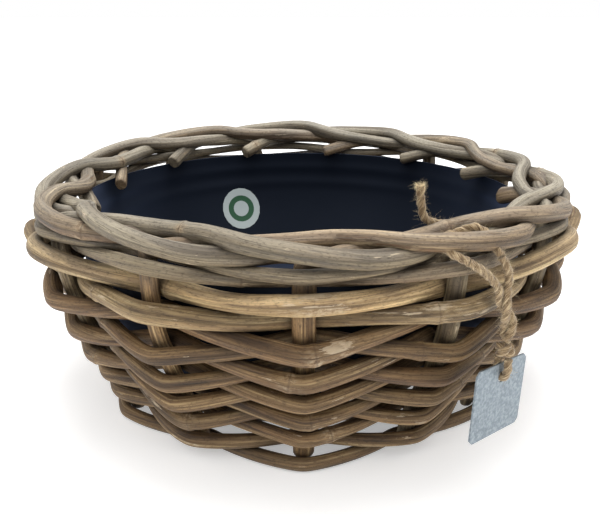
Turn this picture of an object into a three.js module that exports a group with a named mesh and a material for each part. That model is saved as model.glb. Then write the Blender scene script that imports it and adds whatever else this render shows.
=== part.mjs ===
import * as THREE from 'three'

// A round bowl of thick rattan rods, woven in one rising spiral round thirteen stakes, with a rolled
// border made of the stakes' own upper ends, a plastic liner inside and a metal tag on jute twine.
// Sizes are in millimetres and angles in degrees. The bowl stands on z = 0 and is round about the z axis.
// Places round the bowl are counted in pitches, the way from one stake to the next, from the front stake.

const STAKES = 13
const FRONT_STAKE_TURN = 0.5
const PITCH = 360 / STAKES
const ROD_SIDES = 6
const ROD_STEPS_PER_PITCH = 3

// The wall line runs through the middle of the stakes, from the ground up to the rim.
const FOOT_RADIUS = 136.5
const RIM_RADIUS = 176.5
const WALL_HEIGHT = 140
const FOOT_LEAN = 1.5
const FOOT_RISE = 45
const SHOULDER_BULGE = 1
const SHOULDER_HEIGHT = 70

// Rods: the stakes and the two foot rods are one thickness. The weaving rods thicken up the wall,
// and the last ones, under the border, are thin.
const STAKE_D = 8
const STAKE_FOOT_Z = 1
const WEAVER_D_LOW = 7.6
const WEAVER_D_HIGH = 10
const WEAVER_D_TOP = 6.8
const THICK_WEAVERS = 10
const THIN_WEAVERS = 2
const WEAVER_SPAN = 14
const WEAVE_START_Z = 26.8
const WEAVE_TILT = 1.5
const WEAVE_START_STAKE = 8
const ROD_GAP = 0.6
const PASS_SHARPNESS = 0.9
const PASS_GAP = 0.8
const ROW_GAP = 0.5
const LOOSE_ROW_RISE = 4.2
const LOOSE_WEAVER = 8
const BUTT_GAP = 2.4
const FOOT_BUTT_STAKE = 6

// The border: the way of one rod after it leaves its stake, as pitches along, and as rod steps out from
// the rim radius and up from the border's foot. It goes behind one stake, before one and behind a third.
const BORDER_WAY = [
  [0.0, -0.03, -0.35],
  [0.22, -0.06, 0.4],
  [0.45, -0.41, 0.59],
  [0.7, -1.05, 1.04],
  [1.0, -1.4, 1.45],
  [1.22, -0.93, 1.62],
  [1.43, -0.23, 1.67],
  [1.7, 0.8, 1.58],
  [2.0, 1.32, 1.11],
  [2.22, 1.32, 0.84],
  [2.43, 1.07, 0.68],
  [2.7, 0.05, 0.5],
  [2.85, -0.97, 0.33],
  [3.0, -1.77, 0.0],
  [3.25, -2.09, -0.4],
  [3.56, -2.21, -1.1],
]
const BORDER_STEPS = 25
const UPRIGHT_STEPS = 9
const BORDER_SINK = 2.6

// The base, hidden by the liner: a hoop inside the first rows and sticks woven across it.
const BASE_HOOP_D = 8
const BASE_HOOP_Z = 24
const BASE_STICK_D = 6
const BASE_STICKS_EACH_WAY = 3
const BASE_STICK_SPACING = 55
const BASE_STICK_OVERHANG = 2.5
const BASE_STICK_STEPS = 12
const SEAT_GAP = 0.3

// The liner and the round sticker on its back wall.
const LINER_WALL = 1.4
const LINER_CORNER = 9
const LINER_SEGMENTS = 40
const LINER_CORNER_STEPS = 3
const LINER_WALL_STEPS = 6
const STICKER_D = 36
const STICKER_T = 0.3
const STICKER_SEGMENTS = 20
const STICKER_GAP = 0.48
const STICKER_TURN = -157.7
const STICKER_Z = 86.7

// The twine and the tag.
const TWINE_D = 4.5
const TWIST_D = 8.6
const TWINE_SIDES = 8
const LOOP_STEPS = 16
const FRAYED_END_STEPS = 10
const STRAND_STEPS = 6
const KNOT_WIDTH = 10.5
const KNOT_HEIGHT = 9
const KNOT_ABOVE_TAG = 3.2
const TAG_WIDTH = 45
const TAG_HEIGHT = 43.5
const TAG_THICKNESS = 1
const TAG_CORNER = 2.5
const TAG_HOLE_D = 6.8
const TAG_HOLE_BELOW_TOP = 8.4
const TAG_HOLE_ASIDE = 0.7
const TAG_FACING = 40
const TAG_HOLE_TURN = 34.163171
const TAG_HOLE_OUT = 18.31735
const TAG_HOLE_Z = 73
const TAG_LOOP_STEPS = 14
const TAG_LOOP_GAP = 0.45

const rattan = (color) => new THREE.MeshStandardMaterial({ color, roughness: 0.62, metalness: 0 })
const rattanGrey = rattan(0xb5ac98)
const rattanTan = rattan(0xa98b5e)
const rattanBrown = rattan(0x9c8a6c)
const linerBlack = new THREE.MeshStandardMaterial({ color: 0x141a26, roughness: 0.38, metalness: 0 })
const stickerWhite = new THREE.MeshStandardMaterial({ color: 0xa9b3b2, roughness: 0.5, metalness: 0 })
const jute = new THREE.MeshStandardMaterial({ color: 0xa98a5e, roughness: 0.95, metalness: 0 })
const zinc = new THREE.MeshStandardMaterial({ color: 0xb4bec6, roughness: 0.42, metalness: 0.9 })

const bowl = new THREE.Group()

function addMesh(name, geometry, material) {
  const mesh = new THREE.Mesh(geometry, material)
  mesh.name = name
  bowl.add(mesh)
  return mesh
}

const twoDigits = (number) => String(number).padStart(2, '0')

// The wall line and places on it

const wallLine = new THREE.CubicBezierCurve(
  new THREE.Vector2(FOOT_RADIUS, 0),
  new THREE.Vector2(FOOT_RADIUS + FOOT_LEAN, FOOT_RISE),
  new THREE.Vector2(RIM_RADIUS + SHOULDER_BULGE, SHOULDER_HEIGHT),
  new THREE.Vector2(RIM_RADIUS, WALL_HEIGHT),
)
wallLine.arcLengthDivisions = 400
const wallLength = wallLine.getLength()

// The point of the wall line at a length along it, with the direction that points out of the bowl.
// Above its end the line goes straight up.
function wallAt(along) {
  const share = Math.min(Math.max(along / wallLength, 0), 1)
  const point = wallLine.getPointAt(share)
  const tangent = wallLine.getTangentAt(share)
  if (along > wallLength) {
    tangent.set(0, 1)
    point.y += along - wallLength
  }
  return { radius: point.x, z: point.y, outRadius: tangent.y, outZ: -tangent.x }
}

// The length along the wall line at a height, found by halving.
function alongAtHeight(z) {
  let low = 0
  let high = wallLength + WALL_HEIGHT
  for (let i = 0; i < 50; i++) {
    const middle = (low + high) / 2
    if (wallAt(middle).z < z) low = middle
    else high = middle
  }
  return low
}

function polarPoint(turn, radius, z) {
  const angle = THREE.MathUtils.degToRad(turn)
  return new THREE.Vector3(radius * Math.sin(angle), -radius * Math.cos(angle), z)
}

const stakeTurn = (pitches) => FRONT_STAKE_TURN + pitches * PITCH

// The direction of a line of points at one of them. At an end it is the end slope of the parabola through
// the last three points, so that two rods of one curve meet face to face.
function tangentAt(points, i, isClosed) {
  const count = points.length
  if (isClosed || (i > 0 && i < count - 1)) {
    const after = points[(i + 1) % count]
    return after.clone().sub(points[(i + count - 1) % count]).normalize()
  }
  const inward = i === 0 ? 1 : -1
  const tangent = points[i].clone().multiplyScalar(-3)
  tangent.addScaledVector(points[i + inward], 4).sub(points[i + 2 * inward])
  return tangent.multiplyScalar(inward).normalize()
}

// A rod along a list of points: a ring of sides at each point, flat ends, and closed if it is a hoop.
// One corner of each ring points away from the middle of the bowl, so flats lie above and below.
function rodGeometry(points, diameter, isHoop = false) {
  const count = points.length
  const positions = []
  const triangles = []
  points.forEach((point, i) => {
    const tangent = tangentAt(points, i, isHoop)
    const out = new THREE.Vector3(point.x, point.y, 0).normalize()
    out.addScaledVector(tangent, -out.dot(tangent)).normalize()
    const up = tangent.clone().cross(out)
    for (let k = 0; k < ROD_SIDES; k++) {
      const angle = (2 * Math.PI * k) / ROD_SIDES
      const corner = point.clone()
      corner.addScaledVector(out, (diameter / 2) * Math.cos(angle))
      corner.addScaledVector(up, (diameter / 2) * Math.sin(angle))
      positions.push(corner.x, corner.y, corner.z)
    }
  })
  const lastRing = isHoop ? count : count - 1
  for (let i = 0; i < lastRing; i++) {
    const ring = i * ROD_SIDES
    const next = ((i + 1) % count) * ROD_SIDES
    for (let k = 0; k < ROD_SIDES; k++) {
      const side = (k + 1) % ROD_SIDES
      triangles.push(ring + k, ring + side, next + side, ring + k, next + side, next + k)
    }
  }
  if (!isHoop) {
    const end = (count - 1) * ROD_SIDES
    for (let k = 1; k < ROD_SIDES - 1; k++) {
      triangles.push(0, k + 1, k, end, end + k, end + k + 1)
    }
  }
  const geometry = new THREE.BufferGeometry()
  geometry.setAttribute('position', new THREE.Float32BufferAttribute(positions, 3))
  geometry.setIndex(triangles)
  geometry.computeVertexNormals()
  return geometry
}

// How far a rod's middle lies from the stake's middle where it passes the stake.
const passOffset = (diameter) => (STAKE_D + diameter) / 2 + PASS_GAP

// How far along a rod's way from one side of the stakes to the other it is, from 1 at one stake to -1 at
// the next. It is nearly straight between stakes and bends at them, the more so as sharpness nears 1.
function passShare(pitches) {
  return Math.asin(PASS_SHARPNESS * Math.cos(Math.PI * pitches)) / Math.asin(PASS_SHARPNESS)
}

// The weave: twelve rods butted end to end in one spiral. Each covers an even number of pitches, so
// both its ends lie inside the bowl behind a stake, and each turn climbs by the thicker of the two rods
// that lie on each other. With an odd number of stakes the passes alternate from row to row by themselves.

const weavers = []
let weaveAlong = alongAtHeight(WEAVE_START_Z)
for (let i = 0; i < THICK_WEAVERS + THIN_WEAVERS; i++) {
  const thickening = i / (THICK_WEAVERS - 1)
  const isThin = i >= THICK_WEAVERS
  const diameter = isThin ? WEAVER_D_TOP : THREE.MathUtils.lerp(WEAVER_D_LOW, WEAVER_D_HIGH, thickening)
  const diameterBelow = i ? weavers[i - 1].diameter : diameter
  const rest = Math.max(diameter, (diameter + diameterBelow) / 2) + ROW_GAP
  const climb = i === LOOSE_WEAVER ? rest + LOOSE_ROW_RISE : rest
  const weaver = { diameter, from: weaveAlong, to: weaveAlong + (climb * WEAVER_SPAN) / STAKES }
  weaveAlong = weaver.to
  weavers.push(weaver)
}

function weaverPoints(index) {
  const { diameter, from, to } = weavers[index]
  const steps = WEAVER_SPAN * ROD_STEPS_PER_PITCH
  const pitchLength = (2 * Math.PI * wallAt(from).radius) / STAKES
  const points = []
  for (let i = 0; i <= steps; i++) {
    const butt = ((i === 0) - (i === steps)) * (BUTT_GAP / 2 / pitchLength)
    const pitches = (i / steps) * WEAVER_SPAN + butt
    const turn = stakeTurn(WEAVE_START_STAKE + index * WEAVER_SPAN + pitches)
    const tilt = WEAVE_TILT * Math.cos(THREE.MathUtils.degToRad(turn))
    const wall = wallAt(THREE.MathUtils.lerp(from, to, pitches / WEAVER_SPAN) + tilt)
    const offset = -passShare(pitches) * passOffset(diameter)
    points.push(polarPoint(turn, wall.radius + offset * wall.outRadius, wall.z + offset * wall.outZ))
  }
  return points
}

weavers.forEach((weaver, i) => {
  const material = i >= THICK_WEAVERS ? rattanGrey : i >= LOOSE_WEAVER ? rattanTan : rattanBrown
  addMesh(`weaver_${twoDigits(i + 1)}`, rodGeometry(weaverPoints(i), weaver.diameter), material)
})

// The foot: two level rods, woven once round the lower ends of the stakes in opposite passes.
// The bowl stands on the flat underside of the lower one.

const flatOf = (diameter) => (diameter / 2) * Math.cos(Math.PI / ROD_SIDES)
const footRodZ = [flatOf(STAKE_D), flatOf(STAKE_D) + STAKE_D + ROD_GAP]

function footRodPoints(z, firstStake) {
  const wall = wallAt(alongAtHeight(z))
  const steps = STAKES * ROD_STEPS_PER_PITCH
  const pitchLength = (2 * Math.PI * wall.radius) / STAKES
  const points = []
  for (let i = 0; i <= steps; i++) {
    const butt = ((i === 0) - (i === steps)) * (BUTT_GAP / 2 / pitchLength)
    const pitches = i / ROD_STEPS_PER_PITCH + butt
    const pass = pitches < STAKES - 1 ? -passShare(pitches) : -1
    const radius = wall.radius + (pass * passOffset(STAKE_D)) / wall.outRadius
    points.push(polarPoint(stakeTurn(firstStake + pitches), radius, z))
  }
  return points
}

footRodZ.forEach((z, i) => {
  const points = footRodPoints(z, FOOT_BUTT_STAKE + i)
  addMesh(`foot_rod_${i + 1}`, rodGeometry(points, STAKE_D), rattanBrown)
})

// The stakes and the rolled border, each one unbroken rod

const topRow = weaverPoints(weavers.length - 1)
const weaveTopZ = Math.max(...topRow.map((point) => point.z))
const borderFootZ = weaveTopZ + WEAVER_D_TOP / 2 + STAKE_D / 2 - BORDER_SINK
const rodStep = STAKE_D + ROD_GAP
const borderCurve = new THREE.CatmullRomCurve3(
  BORDER_WAY.map((station) => new THREE.Vector3(...station)), false, 'catmullrom', 0.5,
)

function stakePoints(index) {
  const points = []
  const uprightTop = borderFootZ + BORDER_WAY[0][2] * rodStep
  for (let i = 0; i < UPRIGHT_STEPS; i++) {
    const z = THREE.MathUtils.lerp(STAKE_FOOT_Z, uprightTop, i / UPRIGHT_STEPS)
    points.push(polarPoint(stakeTurn(index), wallAt(alongAtHeight(z)).radius, z))
  }
  for (let i = 0; i <= BORDER_STEPS; i++) {
    const station = borderCurve.getPoint(i / BORDER_STEPS)
    const radius = RIM_RADIUS + station.y * rodStep
    points.push(polarPoint(stakeTurn(index + station.x), radius, borderFootZ + station.z * rodStep))
  }
  return points
}

for (let i = 0; i < STAKES; i++) {
  const name = `stake_${twoDigits(i + 1)}`
  addMesh(name, rodGeometry(stakePoints(i), STAKE_D), i % 3 ? rattanGrey : rattanBrown)
}

// The base

const hoopWall = wallAt(alongAtHeight(BASE_HOOP_Z))
const innerPassDepth = (passOffset(WEAVER_D_LOW) + WEAVER_D_LOW / 2) / hoopWall.outRadius
const hoopRadius = hoopWall.radius - innerPassDepth - SEAT_GAP - BASE_HOOP_D / 2
const hoopSegments = STAKES * ROD_STEPS_PER_PITCH
const hoopPoints = []
for (let i = 0; i < hoopSegments; i++) {
  hoopPoints.push(polarPoint((360 * i) / hoopSegments, hoopRadius, BASE_HOOP_Z))
}
addMesh('base_hoop', rodGeometry(hoopPoints, BASE_HOOP_D, true), rattanBrown)

const stickRise = (BASE_STICK_D + SEAT_GAP * 2) / 2
const stickZ = BASE_HOOP_Z + flatOf(BASE_HOOP_D) + BASE_STICK_D / 2 + SEAT_GAP
const linerFloorZ = stickZ + stickRise + BASE_STICK_D / 2 + SEAT_GAP

// A base stick is a straight round bar that waves over and under the sticks that it crosses.
function baseStickGeometry(aside, waveSign) {
  const half = Math.sqrt(hoopRadius ** 2 - aside ** 2) + BASE_STICK_OVERHANG
  const points = []
  for (let i = 0; i <= BASE_STICK_STEPS; i++) {
    const along = THREE.MathUtils.lerp(-half, half, i / BASE_STICK_STEPS)
    const reach = (BASE_STICKS_EACH_WAY * BASE_STICK_SPACING) / 2
    const isCrossed = Math.abs(along) < reach
    const wave = isCrossed ? Math.cos((Math.PI * along) / BASE_STICK_SPACING) : 0
    points.push(new THREE.Vector3(along, aside, stickZ + waveSign * stickRise * wave))
  }
  return tubeGeometry(points, BASE_STICK_D, BASE_STICK_STEPS, ROD_SIDES)
}

// A round section carried along a smooth curve through the given points.
function tubeGeometry(points, diameter, steps, sides = TWINE_SIDES) {
  const section = new THREE.Shape()
  for (let k = 0; k < sides; k++) {
    const angle = (2 * Math.PI * k) / sides
    const x = (diameter / 2) * Math.cos(angle)
    const y = (diameter / 2) * Math.sin(angle)
    if (k === 0) section.moveTo(x, y)
    else section.lineTo(x, y)
  }
  section.closePath()
  const extrudePath = new THREE.CatmullRomCurve3(points)
  return new THREE.ExtrudeGeometry(section, { steps, extrudePath, bevelEnabled: false })
}

for (let i = 0; i < BASE_STICKS_EACH_WAY; i++) {
  const fromMiddle = i - (BASE_STICKS_EACH_WAY - 1) / 2
  const aside = fromMiddle * BASE_STICK_SPACING
  const waveSign = Math.abs(fromMiddle) % 2 ? -1 : 1
  addMesh(`base_stick_x${i + 1}`, baseStickGeometry(aside, waveSign), rattanBrown)
  const crossing = addMesh(`base_stick_y${i + 1}`, baseStickGeometry(aside, -waveSign), rattanBrown)
  crossing.rotation.z = Math.PI / 2
}

// The liner: a thin cup that follows the inside of the weave, held down by the border's tail ends

const tailEnd = BORDER_WAY[BORDER_WAY.length - 1]
const linerTopZ = borderFootZ + tailEnd[2] * rodStep - STAKE_D / 2 - ROD_GAP
const linerClearance = passOffset(WEAVER_D_HIGH) + WEAVER_D_HIGH / 2 + SEAT_GAP * 2

function linerRadius(z) {
  const wall = wallAt(alongAtHeight(z))
  return wall.radius - linerClearance / wall.outRadius
}

function linerSide(inset) {
  const points = []
  const floorZ = linerFloorZ + inset
  const cornerZ = linerFloorZ + LINER_CORNER
  const corner = LINER_CORNER - inset
  for (let i = 0; i < LINER_CORNER_STEPS; i++) {
    const angle = (Math.PI / 2) * (i / LINER_CORNER_STEPS)
    const radius = linerRadius(cornerZ) - LINER_CORNER + corner * Math.sin(angle)
    points.push(new THREE.Vector2(radius, floorZ + corner * (1 - Math.cos(angle))))
  }
  for (let i = 0; i <= LINER_WALL_STEPS; i++) {
    const z = THREE.MathUtils.lerp(cornerZ, linerTopZ, i / LINER_WALL_STEPS)
    points.push(new THREE.Vector2(linerRadius(z) - inset, z))
  }
  return points
}

const linerProfile = [
  new THREE.Vector2(0, linerFloorZ),
  ...linerSide(0),
  ...linerSide(LINER_WALL).reverse(),
  new THREE.Vector2(0, linerFloorZ + LINER_WALL),
]
const linerGeometry = new THREE.LatheGeometry(linerProfile, LINER_SEGMENTS)
linerGeometry.rotateX(Math.PI / 2)
addMesh('liner', linerGeometry, linerBlack)

// The sticker: a thin disc bent onto the inside of the liner
const stickerRadius = STICKER_D / 2
const stickerRings = [0, stickerRadius / 2, stickerRadius]
const linerFacetDepth = linerRadius(STICKER_Z) * (1 - Math.cos(Math.PI / LINER_SEGMENTS))
const stickerGeometry = new THREE.LatheGeometry([
  ...stickerRings.map((radius) => new THREE.Vector2(radius, 0)),
  ...stickerRings.reverse().map((radius) => new THREE.Vector2(radius, STICKER_T)),
], STICKER_SEGMENTS)
const stickerCorners = stickerGeometry.getAttribute('position')
for (let i = 0; i < stickerCorners.count; i++) {
  const z = STICKER_Z + stickerCorners.getZ(i)
  const radius = linerRadius(z) - LINER_WALL - linerFacetDepth - STICKER_GAP - stickerCorners.getY(i)
  const turn = STICKER_TURN + THREE.MathUtils.radToDeg(stickerCorners.getX(i) / radius)
  const place = polarPoint(turn, radius, z)
  stickerCorners.setXYZ(i, place.x, place.y, place.z)
}
addMesh('sticker', stickerGeometry, stickerWhite)

// The twine: a loop behind the second stake, with a frayed end that stands up inside the rim, and two
// strands that come out under the border and join. Routes are points chosen along the photographed way,
// in pitches round, distance out from the rim's radius, and height.

const routePoint = ([pitches, out, z]) => polarPoint(stakeTurn(pitches), RIM_RADIUS + out, z)

const LOOP_ROUTE = [
  [0.905, 15.3, 143.6],
  [0.85, 13.9, 146.4],
  [0.81, 10.1, 149],
  [0.81, 5, 151],
  [0.86, -0.7, 151.2],
  [0.93, -5.2, 151],
  [1.0, -6.5, 151],
  [1.06, -5.2, 152.7],
  [1.11, -0.9, 154.6],
  [1.14, 4.8, 152.2],
  [1.14, 8, 147.8],
  [1.135, 11.1, 146.2],
  [1.138, 14.1, 145.4],
  [1.143, 15.6, 143.2],
]
const FRAYED_END_ROUTE = [
  [1.01, -10.6, 151.3],
  [1.06, -13.1, 151.7],
  [1.07, -17, 152.2],
  [0.98, -19.5, 153.6],
  [0.87, -19.1, 157.6],
  [0.83, -18.5, 166],
  [0.81, -18.1, 176],
]
const STRAND_1_ROUTE = [
  [0.911, 15.5, 143.1],
  [0.97, 16.9, 139.6],
  [1.07, 17.5, 132],
  [1.131, 17.8, 124.6],
]
const STRAND_2_ROUTE = [
  [1.146, 16.1, 142.2],
  [1.165, 17.9, 138.2],
  [1.187, 18.7, 132],
  [1.189, 18.4, 124.6],
]
const TWIST_ROUTE = [
  [1.16, 18.1, 123.7],
  [1.164, 18.2, 119],
  [1.19, 18.6, 112],
  [1.225, 18.6, 105],
  [1.222, 18.4, 98.5],
  [1.214, 18.3, 93.9],
]

addMesh('twine_loop', tubeGeometry(LOOP_ROUTE.map(routePoint), TWINE_D, LOOP_STEPS), jute)
addMesh('twine_frayed_end', tubeGeometry(FRAYED_END_ROUTE.map(routePoint), TWINE_D, FRAYED_END_STEPS), jute)
addMesh('twine_strand_1', tubeGeometry(STRAND_1_ROUTE.map(routePoint), TWINE_D, STRAND_STEPS), jute)
addMesh('twine_strand_2', tubeGeometry(STRAND_2_ROUTE.map(routePoint), TWINE_D, STRAND_STEPS), jute)
addMesh('twine_twist', tubeGeometry(TWIST_ROUTE.map(routePoint), TWIST_D, STRAND_STEPS), jute)

// The tag hangs level with its hole round the twine's small loop, under the knot

const tagHole = polarPoint(TAG_HOLE_TURN, RIM_RADIUS + TAG_HOLE_OUT, TAG_HOLE_Z)
const tagTurn = new THREE.Group()
tagTurn.rotation.z = THREE.MathUtils.degToRad(TAG_FACING)
tagTurn.position.copy(tagHole)
const tagFrame = new THREE.Group()
tagFrame.rotation.x = Math.PI / 2
bowl.add(tagTurn)
tagTurn.add(tagFrame)

const tagShape = new THREE.Shape()
const tagTop = TAG_HOLE_BELOW_TOP
const tagBottom = TAG_HOLE_BELOW_TOP - TAG_HEIGHT
const tagLeft = -TAG_WIDTH / 2 - TAG_HOLE_ASIDE
const tagRight = TAG_WIDTH / 2 - TAG_HOLE_ASIDE
tagShape.moveTo(tagLeft + TAG_CORNER, tagTop)
tagShape.lineTo(tagLeft, tagTop - TAG_CORNER)
tagShape.lineTo(tagLeft, tagBottom + TAG_CORNER)
tagShape.lineTo(tagLeft + TAG_CORNER, tagBottom)
tagShape.lineTo(tagRight - TAG_CORNER, tagBottom)
tagShape.lineTo(tagRight, tagBottom + TAG_CORNER)
tagShape.lineTo(tagRight, tagTop - TAG_CORNER)
tagShape.lineTo(tagRight - TAG_CORNER, tagTop)
tagShape.closePath()
const tagHoleEdge = new THREE.Path()
tagHoleEdge.absarc(0, 0, TAG_HOLE_D / 2, 0, 2 * Math.PI, true)
tagShape.holes.push(tagHoleEdge)
const tagGeometry = new THREE.ExtrudeGeometry(tagShape, {
  depth: TAG_THICKNESS, bevelEnabled: false, curveSegments: 16,
})
tagGeometry.translate(0, 0, -TAG_THICKNESS / 2)
const tag = new THREE.Mesh(tagGeometry, zinc)
tag.name = 'tag'
tag.rotation.z = -Math.atan(TAG_HOLE_ASIDE / (TAG_HEIGHT / 2 - TAG_HOLE_BELOW_TOP))
tagFrame.add(tag)

// The small loop goes through the hole, and both its ends run up into the knot's underside.
const loopHalf = TWINE_D / 2 + TAG_THICKNESS / 2 + TAG_LOOP_GAP
const knotBottom = TAG_HOLE_BELOW_TOP + KNOT_ABOVE_TAG
const tagLoopPoints = [[-1, knotBottom - SEAT_GAP], [-1, 4], [-0.72, 0.9], [0, -0.4]]
const tagLoopWay = [...tagLoopPoints, ...tagLoopPoints.slice(0, 3).reverse().map(([side, up]) => [-side, up])]
const tagLoopGeometry = tubeGeometry(
  tagLoopWay.map(([side, up]) => new THREE.Vector3(0, up, side * loopHalf)), TWINE_D, TAG_LOOP_STEPS,
)
const tagLoop = new THREE.Mesh(tagLoopGeometry, jute)
tagLoop.name = 'twine_tag_loop'
tagFrame.add(tagLoop)

const knotGeometry = new THREE.SphereGeometry(0.5, 12, 8)
knotGeometry.scale(KNOT_WIDTH, KNOT_HEIGHT, KNOT_WIDTH)
knotGeometry.translate(0, knotBottom + KNOT_HEIGHT / 2, 0)
const knot = new THREE.Mesh(knotGeometry, jute)
knot.name = 'twine_knot'
tagFrame.add(knot)

export default bowl
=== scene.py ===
import math
import bpy
import numpy as np
from mathutils import Matrix, Vector


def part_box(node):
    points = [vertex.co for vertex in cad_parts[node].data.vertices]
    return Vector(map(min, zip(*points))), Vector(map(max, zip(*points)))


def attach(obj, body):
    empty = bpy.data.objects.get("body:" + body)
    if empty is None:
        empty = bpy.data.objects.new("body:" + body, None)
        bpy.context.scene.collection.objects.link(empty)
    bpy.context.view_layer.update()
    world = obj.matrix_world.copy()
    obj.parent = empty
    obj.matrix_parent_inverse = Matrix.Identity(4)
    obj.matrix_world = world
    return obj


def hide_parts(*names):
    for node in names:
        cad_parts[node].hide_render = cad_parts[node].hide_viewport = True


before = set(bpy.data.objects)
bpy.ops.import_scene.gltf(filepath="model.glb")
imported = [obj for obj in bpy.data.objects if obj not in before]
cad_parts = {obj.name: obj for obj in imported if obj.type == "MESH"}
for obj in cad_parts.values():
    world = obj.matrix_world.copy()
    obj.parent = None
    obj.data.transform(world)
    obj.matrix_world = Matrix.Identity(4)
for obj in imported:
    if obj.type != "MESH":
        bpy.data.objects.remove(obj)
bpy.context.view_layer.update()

MM = 0.001
UP = np.array([0, 0, 1.0])

# Camera
# The bowl is seen from the front and a little above, from about half a metre in front of its middle.
# The lens and the small shift give the photograph's 600 by 514 frame.
IMAGE_WIDTH = 600
CAMERA_PLACE = (0, -505.3 * MM, 261.3 * MM)
CAMERA_DIP = 0.334
FOCAL_PIXELS = 706.8
CENTRE_SHIFT_PIXELS = 1.5
SENSOR_WIDTH = 36

camera_data = bpy.data.cameras.new("camera")
camera_data.sensor_width = SENSOR_WIDTH
camera_data.lens = FOCAL_PIXELS / IMAGE_WIDTH * SENSOR_WIDTH
camera_data.shift_x = -CENTRE_SHIFT_PIXELS / IMAGE_WIDTH
camera = bpy.data.objects.new("camera", camera_data)
bpy.context.scene.collection.objects.link(camera)
camera.matrix_world = (Matrix.Translation(CAMERA_PLACE)
                       @ Matrix.Rotation(math.pi / 2 - CAMERA_DIP, 4, "X"))
bpy.context.scene.camera = camera

# Jute twine
# Three plies of jute, 4.5 mm thick, laid together with a right-hand twist and hairy all over. A loop
# holds the twine behind the second stake, and its frayed end stands up inside the rim. Below the border
# two strands wind round each other down to a knot, and a small loop under the knot carries the tag.
STAKES = 13
PITCH = 360 / STAKES
FRONT_STAKE_TURN = 0.5
RIM_RADIUS = 176.5
TWINE_D = 4.5 * MM
PLY_LAY = 16 * MM
TWINE_STEP = 0.5 * MM
TWINE_SIDES = 24
SPAN_STEPS = 40
ODD_DIRECTION = (0.3, 0.5, 0.81)
# Shares of the twine's radius: how far out a ply's middle lies, a ply's own radius, the least reach in
# a groove, the whole twine's fullness, and its swell, with the swell's radians in a metre and its start.
PLY_OUT = 0.536
PLY_RADIUS = 0.464
PLY_GROOVE = 0.84
PLY_FULLNESS = 1.06
TWINE_SWELL = 0.05
TWINE_SWELL_RATE = 900
TWINE_SWELL_START = 1.3
TWIST_HELIX = 2.2 * MM
TWIST_TURNS = 0.9
TWIST_EVERY = 6
# Loose fibres: how many leave a millimetre of twine, how long they are, the shape and scale of the
# spread of their lengths, and how they start, curl, lift, slow down and thin out towards their tips.
HAIR_D = 0.1 * MM
HAIRS_PER_MM = 18
HAIR_LENGTH = 2.4 * MM
HAIR_LENGTHS = (2.2, 0.42)
HAIR_RINGS = 6
HAIR_SIDES = 3
HAIR_ROOT = 0.36
HAIR_CURL = 0.55
HAIR_LIFT = (0.12, 0.75)
HAIR_LIFT_POWER = 1.6
HAIR_SLOWING = 0.35
HAIR_TAPER = 0.6
HAIR_LEVEL_WAY = np.array([0.7, 0.7, 0])
STRAND_HAIRS_PER_MM = 20
STRAND_HAIR_LENGTH = 2.8 * MM
FRAY_RINGS = 9
FRAY_PER_MM = 230
FRAY_LENGTH = 1.5 * MM
FRAY_SEED = 8
JUTE_PALE = "#D0C0A1"
JUTE_MID = "#A08A69"
JUTE_DARK = "#604A33"
# Pattern features in a metre along a ply, round it and across it.
JUTE_FIBRES = (200, 3000, 2500)
JUTE_PATCHES = (300, 500, 500)

LOOP_ROUTE = [
    (0.905, 15.3, 143.6), (0.85, 13.9, 146.4), (0.81, 10.1, 149), (0.81, 5, 151),
    (0.86, -0.7, 151.2), (0.93, -5.2, 151), (1.0, -6.5, 151), (1.06, -5.2, 152.7),
    (1.11, -0.9, 154.6), (1.14, 4.8, 152.2), (1.14, 8, 147.8), (1.135, 11.1, 146.2),
    (1.138, 14.1, 145.4), (1.143, 15.6, 143.2),
]
FRAYED_END_ROUTE = [
    (1.01, -10.6, 151.3), (1.06, -13.1, 151.7), (1.07, -17, 152.2), (0.98, -19.5, 153.6),
    (0.87, -19.1, 157.6), (0.83, -18.5, 166), (0.81, -18.1, 176),
]
STRAND_1_ROUTE = [(0.911, 15.5, 143.1), (0.97, 16.9, 139.6), (1.07, 17.5, 132), (1.131, 17.8, 124.6)]
STRAND_2_ROUTE = [(1.146, 16.1, 142.2), (1.165, 17.9, 138.2), (1.187, 18.7, 132), (1.189, 18.4, 124.6)]
TAG_HOLE_AT = np.array([109.4, -161.2, 73])
TAG_FACING = math.radians(40)
TAG_LOOP_HALF = 3.2
TAG_LOOP_WAY = np.array([(-1, 11.3), (-1, 4), (-0.72, 0.9), (0, -0.4), (0.72, 0.9), (1, 4), (1, 11.3)])
KNOT_ABOVE_HOLE = 16.1
KNOT_UNIT = 1.12
KNOT_FLATNESS = 1.9
KNOT_STEPS = 400
KNOT_HAIRS_PER_MM = 8
TWIST_ROUTE = [
    (1.16, 18.1, 123.7), (1.164, 18.2, 119), (1.19, 18.6, 112), (1.225, 18.6, 105),
    (1.222, 18.4, 98.5), (1.214, 18.3, 93.9),
]


def srgb(code):
    """A hex colour as linear red, green, blue and 1: the sRGB curve undone for each channel."""
    channels = np.array([int(code[i:i + 2], 16) for i in (1, 3, 5)]) / 255
    linear = np.where(channels <= 0.04045, channels / 12.92, ((channels + 0.055) / 1.055) ** 2.4)
    return (*linear.tolist(), 1.0)


def add_node(tree, kind, inputs=None, **settings):
    """Add a node, set its properties, and give each named or numbered input a value or a link."""
    made = tree.nodes.new(kind)
    for name, value in settings.items():
        setattr(made, name, value)
    for name, value in (inputs or {}).items():
        if isinstance(value, bpy.types.NodeSocket):
            tree.links.new(value, made.inputs[name])
        else:
            made.inputs[name].default_value = value
    return made


def new_material(name, **values):
    """A material with one Principled shader, whose plain values are set on its own sockets."""
    material = bpy.data.materials.new(name)
    material.use_nodes = True
    shader = material.node_tree.nodes["Principled BSDF"]
    for socket, value in values.items():
        shader.inputs[socket.replace("_", " ")].default_value = value
    return material, material.node_tree, shader


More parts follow.
